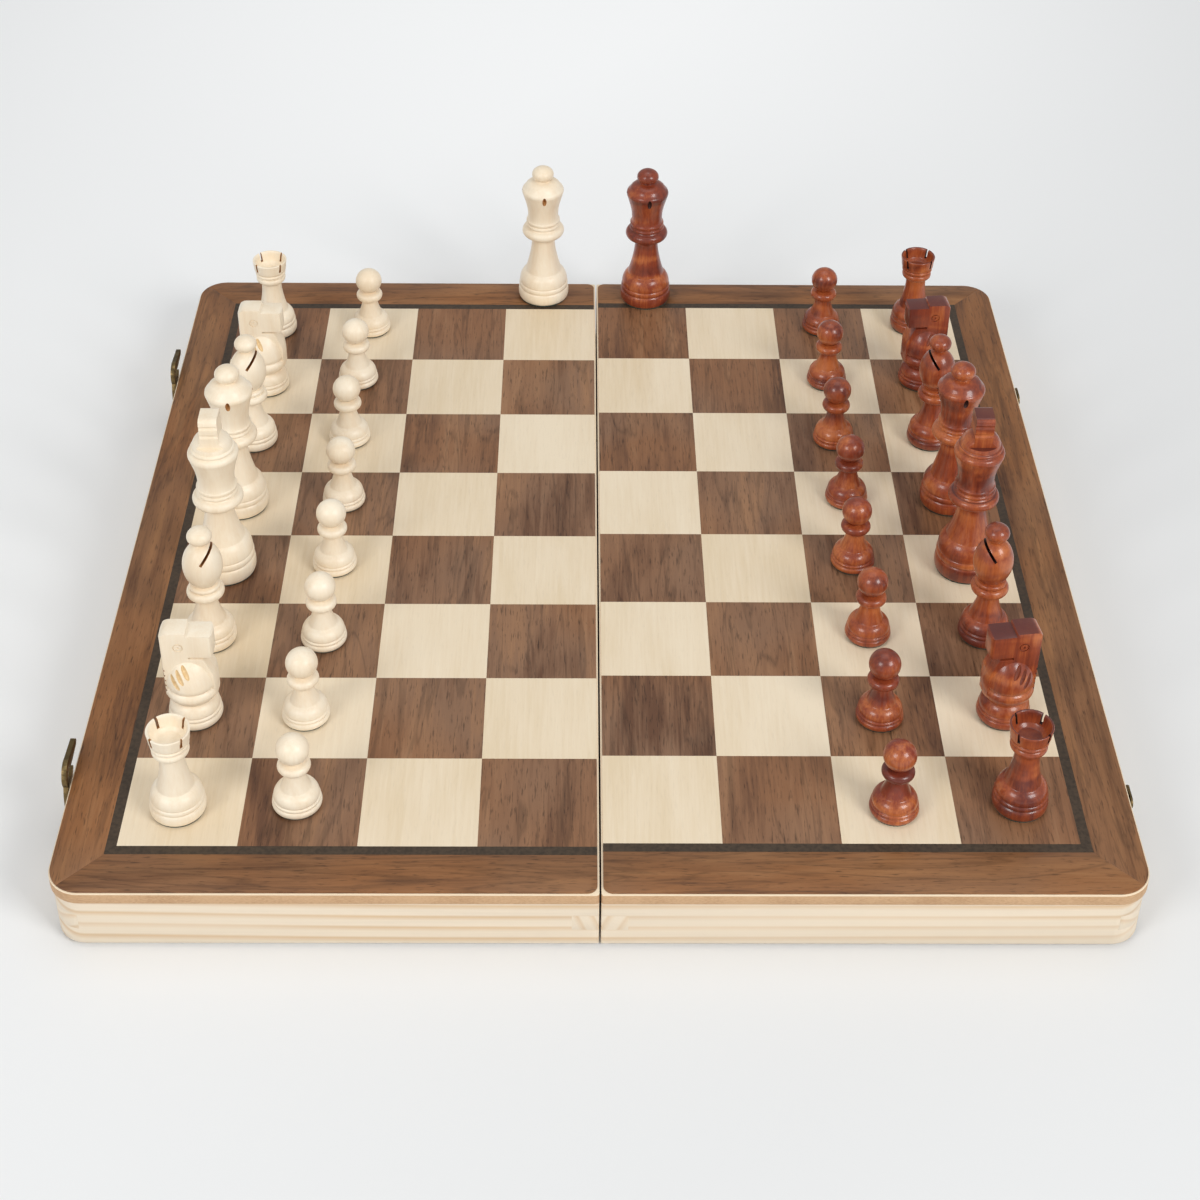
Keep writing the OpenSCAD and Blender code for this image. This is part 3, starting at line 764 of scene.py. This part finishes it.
def stem(r0, z0, r1, z1):
    """Flared stem, steep at its top."""
    out = []
    for i in range(1, 17):
        s = i / 16
        out.append((r1 + (r0 - r1) * (1 - s) ** 1.7, z0 + (z1 - z0) * s))
    return out


def pawn_profile():
    points = foot(PAWN_R, 4.8, 9.2) + stem(PAWN_R - 3.5, 9.6, 3.4, 17.6)
    points += arc(4.3, 19.6, 1.7, 1.9, -75, 90, 12) + [(4, 21.6)]
    return points + arc(0, 27.3, 6, 5.8, -68, 90, 26)


def rook_profile():
    points = foot(MINOR_R, 7.3, 12.4) + stem(MINOR_R - 3.5, 12.9, 4.5, 25.6) + [(4.6, 27.4)]
    points += arc(5.2, 30, 1.5, 1.6, -75, 70, 12) + [(6.1, 31.8)]
    points += arc(6.3, 32.7, 0.6, 0.7, -80, 80, 6) + [(6.6, 33.7), (7.1, 34.2), (7.3, 35.2)]
    points += [(7.4, 36.4), (7.6, 37.9), (7.8, 39.2), (7.6, 39.5), (7.0, 39.4), (6.6, 38.6)]
    return points + [(6.4, 37.4), (6.2, 36.2), (5.7, 34.8), (4.4, CUP_Z + 0.2), (0, CUP_Z)]


def bishop_profile():
    points = foot(MINOR_R, 6.2, 10.8) + stem(MINOR_R - 3.5, 11.3, 3.9, 22) + [(4.4, 22.8)]
    points += arc(5.5, 25, 1.8, 2, -80, 80, 12)
    points += arc(5.2, 28, 0.9, 1, -70, 80, 8)
    points += arc(0, 38, 7.7, 10.6, -56, 75, 28) + [(2.4, 48.6)]
    return points + arc(0, 51.8, 4.8, 3.6, -58, 90, 18)


def crown(z, r):
    """Collar, two rings and a flared crown, shared by queens and kings."""
    points = arc(r - 2.2, z + 2.8, 2.3, 2.3, -80, 80, 14)
    points += arc(r - 2.6, z + 6.5, 0.9, 0.9, -70, 70, 8)
    points += arc(r - 2.4, z + 8.6, 0.5, 0.8, -80, 80, 6)
    points += [(r - 2.7, z + 10.5), (r - 2.65, z + 12.5), (r - 2.5, z + 14.5), (r - 2.15, z + 16.5)]
    points += [(r - 1.7, z + 18.5), (r - 1.15, z + 20.4), (r - 0.6, z + 22.3)]
    return points + arc(r - 1.8, z + 24.6, 1.8, 2, -30, 60, 10)


def queen_profile():
    points = foot(QUEEN_R, 8.9, 15.2) + stem(QUEEN_R - 3.5, 15.7, 5.3, 33) + [(5.8, 34.4)]
    points += crown(34.4, 9.8) + [(8.4, 61.5), (8.2, 61.7), (7.9, 62.3), (6.8, 63.3)]
    points += [(5.2, 64.1), (3.9, 64.5)]
    return points + arc(0, 67.6, 5.1, 3.7, -48, 90, 18)


def king_profile():
    points = foot(KING_R, 10.4, 17.6) + stem(KING_R - 3.5, 18.1, 5.6, 33.6) + [(6, 34.8)]
    points += crown(34.8, 10) + [(8.8, 61.3)] + arc(8, 62.3, 0.8, 0.8, -60, 70, 10) + [(7.9, 63.2)]
    return points + arc(0, 62.6, 8, 7.2, 8, 90, 24)


def knight_profile():
    points = foot(MINOR_R, 5.6, 10.6) + [(MINOR_R - 2, 11.6), (MINOR_R - 1.4, 12.4)]
    points += arc(MINOR_R - 2.3, 15.2, 2.2, 2.6, -60, 62, 12) + [(MINOR_R - 0.9, 17.8)]
    return points + arc(0, 18, MINOR_R - 0.5, 13.6, 4, 90, 30)


# ---- the six kinds of piece ----


def turned(profile):
    return lathe(rounded(profile, ROUND_OFF))


def pawn():
    return combine(turned(pawn_profile()), [])


def rook():
    tools = []
    for angle in (45, 135):
        matrix = Matrix.Rotation(math.radians(angle), 4, "Z")
        matrix = matrix @ Matrix.Translation((0, 0, CUP_Z + 5))
        tools.append(("DIFFERENCE", block((20, KERF_W, 6), matrix)))
    return combine(turned(rook_profile()), tools)


MITRE_X = 0.5
MITRE_Z = 42.4
MITRE_LEAN = 38
MITRE_H = 12


def bishop():
    """The slanting cut is on the +X side."""
    matrix = Matrix.Translation((MITRE_X, 0, MITRE_Z)) @ Matrix.Rotation(math.radians(MITRE_LEAN), 4, "Y")
    matrix = matrix @ Matrix.Translation((0, 0, MITRE_H / 2))
    return combine(turned(bishop_profile()), [("DIFFERENCE", block((KERF_W, 24, MITRE_H), matrix))])


NOTCHES = 4
NOTCH_TURN = -85
NOTCH_REACH = 10.5
NOTCH_Z = 57.2
NOTCH_SIZE = (2.4, 1.15, 2.9)


def queen():
    tools = []
    for i in range(NOTCHES):
        matrix = Matrix.Rotation(math.radians(i * 360 / NOTCHES + NOTCH_TURN), 4, "Z")
        matrix = matrix @ Matrix.Translation((NOTCH_REACH, 0, NOTCH_Z))
        tools.append(("DIFFERENCE", ball(NOTCH_SIZE, matrix)))
    return combine(turned(queen_profile()), tools)


CROSS_W = 10.4
CROSS_H = 13.6
CROSS_T = 7.2
CROSS_Z = 64.6
CROSS_R = 2.4
BITE_R = 1.0
BITES = (6.1, 10.1)
SHELF_Z = 65


def cross_outline():
    """Closed (x, z) outline: a block with an arched top and small round bites in both edges."""
    w = CROSS_W / 2
    right = [(w, 0)]
    for z in BITES:
        right += arc(w + 0.4, z, BITE_R, BITE_R, 250, 110, 8)
    right += arc(w - CROSS_R, CROSS_H - CROSS_R, CROSS_R, CROSS_R, 0, 90, 8)
    left = [(-x, z) for x, z in reversed(right)]
    return [(x, z + CROSS_Z) for x, z in right + left]


def king():
    """The saw that cuts the cross flat also takes the front and back off the dome under it."""
    tools = []
    for side in (-1, 1):
        matrix = Matrix.Translation((0, side * CROSS_W, SHELF_Z + 5))
        tools.append(("ENGRAVE", block((2 * KING_R, CROSS_W, 10), matrix)))
    cross = prism(cross_outline(), CROSS_T)
    cross.transform(Matrix.Rotation(math.radians(90), 4, "Z"))
    return combine(turned(king_profile()), tools + [("UNION", cross)])


def knight_outline():
    """Side view of the sawn head facing +X."""
    points = [(-12, 14), (9.7, 14), (9.9, 17.5), (9.9, 20.5), (9.5, 22.5), (8.9, 24.3)]
    points += [(7.6, 27.6), (6.4, 30.6), (5.6, MOUTH_Z)]
    points += [(0.5, MOUTH_Z), (0.5, MOUTH_Z + MOUTH_H)]
    points += arc(8.4, MOUTH_Z + MOUTH_H + 1.4, 1.4, 1.4, -90, 0, 5) + [(9.9, 38)]
    points += arc(8.6, MUZZLE_TOP - 1.2, 1.3, 1.2, 0, 90, 5)
    points += [(0.5, MUZZLE_TOP), (0.2, HEAD_TOP), (-6.4, HEAD_TOP)]
    return points + arc(-6.4, HEAD_TOP - 3.6, 3.6, 3.6, 90, 180, 10) + [(-12, HEAD_TOP - 3.6)]


def gouge(top, bottom, side):
    """A leaf-shaped scoop between two points of the dome."""
    a = Vector((top[0], side * top[1], top[2]))
    b = Vector((bottom[0], side * bottom[1], bottom[2]))
    run = b - a
    matrix = Matrix.Translation((a + b) / 2) @ run.to_track_quat("Z", "Y").to_matrix().to_4x4()
    return ball((1.0, 1.0, run.length / 2 + 0.6), matrix)


# Leaf-shaped scoops on the side of the dome, each from its top point to its bottom point
GOUGES = (
    ((-1.8, 5.3, 29.3), (0.5, 8.3, 25.3)),
    ((-4.0, 5.9, 27.4), (-1.7, 8.8, 23.3)),
    ((-6.4, 5.5, 25.2), (-3.3, 9.0, 21.0)),
)
EYE_X = -2.8
EYE_Z = 37.3
EYE_R = 1.45
EYE_RING_R = 1.9
PUPIL_R = 0.45
MANE_CUTS = 5
MANE_X = -11.4
MANE_Z = 18
MANE_STEP = 2.4
MANE_LEAN = 35


def knight():
    """Both sides are carved alike; the muzzle points to +X and the mane's saw cuts to -X."""
    head = prism(knight_outline(), HEAD_T)
    barrel = lathe([(0, 12), (MINOR_R - 0.5, 12), (MINOR_R - 0.1, 14), (MINOR_R - 0.1, 46), (0, 46)])
    head = combine(head, [("INTERSECT", barrel)])
    ease = new_object("head", head)
    soften = ease.modifiers.new("eased edges", "BEVEL")
    soften.width = 0.35 * MM
    soften.segments = 3
    soften.limit_method = "ANGLE"
    soften.angle_limit = math.radians(35)
    head = applied(ease)
    bpy.data.objects.remove(ease)
    head.materials.clear()
    for face in head.polygons:
        face.material_index = 0
    tools = [("UNION", head)]
    for side in (-1, 1):
        low, high = -0.35, 0.35
        ring = lathe([(EYE_R, low), (EYE_RING_R, low), (EYE_RING_R, high), (EYE_R, high), (EYE_R, low)], 32)
        pupil = lathe([(0, -0.4), (PUPIL_R, -0.4), (PUPIL_R, 0.4), (0, 0.4)], 12)
        eye = Vector((EYE_X, side * HEAD_T / 2, EYE_Z)) * MM
        lay = Matrix.Translation(eye) @ Matrix.Rotation(math.pi / 2, 4, "X")
        for mark in (ring, pupil):
            mark.transform(lay)
            tools.append(("ENGRAVE", mark))
        for top, bottom in GOUGES:
            tools.append(("CARVE", gouge(top, bottom, side)))
    lean = Matrix.Rotation(math.radians(MANE_LEAN), 4, "Y")
    for i in range(MANE_CUTS):
        matrix = Matrix.Translation((MANE_X, 0, MANE_Z + MANE_STEP * i)) @ lean
        tools.append(("DIFFERENCE", block((6.4, 30, 0.8), matrix)))
    return combine(turned(knight_profile()), tools)


def felt(r):
    """A die-cut disc with a slightly furred edge, sitting in the space under the foot."""
    edge = r - 0.8
    profile = [(0, 0), (edge - 0.25, 0), (edge, 0.2), (edge, FELT_T - 0.2)]
    profile += [(edge - 0.15, FELT_T), (0, FELT_T)]
    mesh = lathe(profile, 48)
    mesh.materials.append(FELT_CLOTH)
    return cleaned(mesh)


KINDS = {
    "pawn": (pawn, PAWN_R),
    "rook": (rook, MINOR_R),
    "knight": (knight, MINOR_R),
    "bishop": (bishop, MINOR_R),
    "queen": (queen, QUEEN_R),
    "king": (king, KING_R),
}
ARMIES = {
    "light": (CREAM_WOOD, CREAM_CUT, CREAM_CARVED, 0.0, "cream_wood"),
    "dark": (RED_WOOD, RED_CUT_SHADE_WOOD, RED_CARVED, math.pi, "red_wood"),
}
# Degrees by which a piece stands turned from facing the other army
TURNED = {"dark_knight_near": 8, "dark_knight_far": 5}
END_GRAIN_KINDS = ("knight", "king", "rook")
BODY_OF = {n: o.get("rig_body") for n, o in NODES.items()}


def army_meshes():
    """One mesh per kind and army, and one felt per base size."""
    meshes = {}
    for kind, (build, r) in KINDS.items():
        base = cleaned(build())
        meshes[kind, "felt"] = felt(r)
        for army, (wood, cut, carved, _, _) in ARMIES.items():
            mesh = base.copy()
            mesh.name = army + " " + kind
            shows_end = kind in END_GRAIN_KINDS and army == "dark"
            mesh.materials[0] = RED_END_WOOD if shows_end else wood
            mesh.materials[1] = cut
            mesh.materials[2] = carved
            meshes[kind, army] = mesh
        bpy.data.meshes.remove(base)
    return meshes


def stand_piece(node, kind, army, meshes):
    """Puts the detailed piece and its felt where the CAD node stands."""
    low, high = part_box(node)
    place = Matrix.Translation(((low.x + high.x) / 2, (low.y + high.y) / 2, low.z))
    turn = Matrix.Rotation(ARMIES[army][3] + math.radians(TURNED.get(node, 0)), 4, "Z")
    piece = new_object(node + "_turned", meshes[kind, army])
    pad = new_object(node + "_felt", meshes[kind, "felt"])
    for obj in (piece, pad):
        obj.matrix_world = place @ turn
        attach(obj, BODY_OF[node])
    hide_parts(node)


def armies():
    meshes = army_meshes()
    for node in NODES:
        army, _, rest = node.partition("_")
        if army not in ARMIES:
            continue
        kinds = [k for k in KINDS if k in rest.split("_")]
        if kinds:
            stand_piece(node, kinds[0], army, meshes)


# ---- foam trays ----

RIBS = 5
RIB_W = 8
RIB_H = 14
FOAM_T = 3
FOAM_STEPS = 60


def rib_top(s):
    """How much lower a foam rib's edge is than its middle, s from -1 to 1 across it."""
    return 0.9 * abs(s) ** 4


def foam_tray(name):
    """Sheet with five soft-edged ribs, in the space of the CAD tray; opening downwards."""
    low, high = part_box(name + "_foam_tray")
    width = (high.x - low.x) / MM
    trough = (width - RIBS * RIB_W) / (RIBS - 1)
    floor_z = high.z / MM - FOAM_T
    across = []
    for rib in range(RIBS):
        start = rib * (RIB_W + trough)
        across.append((start, floor_z))
        for i in range(9):
            s = -1 + i / 4
            x = start + 0.05 + (RIB_W - 0.1) * (s + 1) / 2
            across.append((x, floor_z - RIB_H + rib_top(s)))
        across.append((start + RIB_W, floor_z))
    outline = across + [(width, high.z / MM), (0, high.z / MM)]
    depth = (high.y - low.y) / MM
    bm = bmesh.new()
    rows = []
    for i in range(FOAM_STEPS + 1):
        y = low.y / MM + depth * i / FOAM_STEPS
        row = []
        for k, (x, z) in enumerate(outline):
            sways = z < floor_z - 1 and 0 < i < FOAM_STEPS
            sway = 0.12 * math.sin(i * 0.9 + k * 0.4) if sways else 0.0
            row.append(bm.verts.new((low.x + x * MM, y * MM, (z + abs(sway)) * MM)))
        rows.append(row)
    count = len(outline)
    for a, b in zip(rows, rows[1:]):
        for k in range(count):
            m = (k + 1) % count
            bm.faces.new((a[k], a[m], b[m], b[k]))
    bm.faces.new(rows[0])
    bm.faces.new(list(reversed(rows[-1])))
    bmesh.ops.recalc_face_normals(bm, faces=bm.faces)
    bmesh.ops.triangulate(bm, faces=[f for f in bm.faces if len(f.verts) > 4])
    mesh = mesh_from(bm, name + " foam")
    mesh.materials.append(FOAM_MATERIAL)
    mesh.shade_smooth()
    mesh.set_sharp_from_angle(angle=math.radians(50))
    tray = new_object(name + "_foam", mesh)
    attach(tray, BODY_OF[name + "_foam_tray"])
    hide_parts(name + "_foam_tray")


board()
armies()
for side_name in ("left", "right"):
    foam_tray(side_name)

# ---- stage: floor, light and camera ----

FLOOR_HALF = 6.0
# How fast the floor's painted light fades across X and along Y
FLOOR_SHADE_SLOPE_X = 1.8
FLOOR_SHADE_SLOPE_Y = 1.5
CAMERA_LENS = 64.65
CAMERA_SHIFT_Y = -0.2377
CAMERA_TURN = -0.70
CAMERA_TILT = 55.81
CAMERA_ROLL = 0.64
CAMERA_PLACE = (-0.0085, -0.690, DECK_Z * MM + 0.5796)


def floor():
    """A plain pale sweep with painted light: lighter towards the back left, painted shade towards the front
    right.
    """
    bm = bmesh.new()
    bmesh.ops.create_grid(bm, x_segments=8, y_segments=8, size=FLOOR_HALF)
    mesh = mesh_from(bm, "floor")
    shader = Shader("floor")
    split = shader.split(shader.place())
    # Painted light: the colour fades from the lit back left to painted shade at the front right
    back = shader.math("MULTIPLY", split["Y"], FLOOR_SHADE_SLOPE_Y)
    painted_light_rise = shader.math("SUBTRACT", back, shader.math("MULTIPLY", split["X"], FLOOR_SHADE_SLOPE_X))
    colour = shader.mix(shader.fit(painted_light_rise, -0.5, 0.7, 0.0, 1.0), FLOOR_PAINTED_SHADE, FLOOR)
    shader.surface(colour, 0.7, specular=0.2)
    mesh.materials.append(shader.material)
    obj = new_object("floor", mesh)


def softbox(name, place, target, size, power):
    data = bpy.data.lights.new(name, "AREA")
    data.shape = "RECTANGLE"
    data.size = size[0]
    data.size_y = size[1]
    data.energy = power
    aimed_light(data, place, target)


def aimed_light(data, place, target):
    obj = bpy.data.objects.new(data.name, data)
    obj.location = place
    aim = Vector(target) - Vector(place)
    obj.rotation_mode = "QUATERNION"
    obj.rotation_quaternion = aim.to_track_quat("-Z", "Y")
    bpy.context.scene.collection.objects.link(obj)


def lights():
    softbox("key right", (1.1, -1.1, 1.15), (0, 0, 0.03), (0.7, 0.7), 16)
    softbox("fill left", (-1.1, -1.2, 1.1), (0, 0, 0.03), (0.7, 0.7), 11)
    softbox("top", (0, 0.3, 1.9), (0, 0.05, 0), (1.6, 1.2), 5)
    pool = bpy.data.lights.new("backdrop", "SPOT")
    pool.energy = 17
    pool.shadow_soft_size = 0.2
    pool.spot_size = math.radians(44)
    pool.spot_blend = 1.0
    aimed_light(pool, (0, 0.75, 1.5), (0, 0.7, 0))
    world = bpy.data.worlds.new("studio")
    bpy.context.scene.world = world
    world.use_nodes = True
    sky = world.node_tree.nodes["Background"]
    sky.inputs["Color"].default_value = (0.98, 0.99, 1.0, 1.0)
    sky.inputs["Strength"].default_value = 0.46


def camera():
    """The photograph's viewpoint."""
    data = bpy.data.cameras.new("camera")
    data.sensor_width = 36.0
    data.lens = CAMERA_LENS
    data.shift_y = CAMERA_SHIFT_Y
    data.clip_start = 0.05
    data.clip_end = 50.0
    obj = bpy.data.objects.new("camera", data)
    turn = Matrix.Rotation(math.radians(CAMERA_TURN), 4, "Z")
    tilt = Matrix.Rotation(math.radians(CAMERA_TILT), 4, "X")
    roll = Matrix.Rotation(math.radians(CAMERA_ROLL), 4, "Z")
    obj.matrix_world = Matrix.Translation(CAMERA_PLACE) @ turn @ tilt @ roll
    bpy.context.scene.collection.objects.link(obj)
    bpy.context.scene.camera = obj


floor()
lights()
camera()
bpy.context.scene.view_settings.view_transform = "Standard"
bpy.context.scene.view_settings.look = "None"
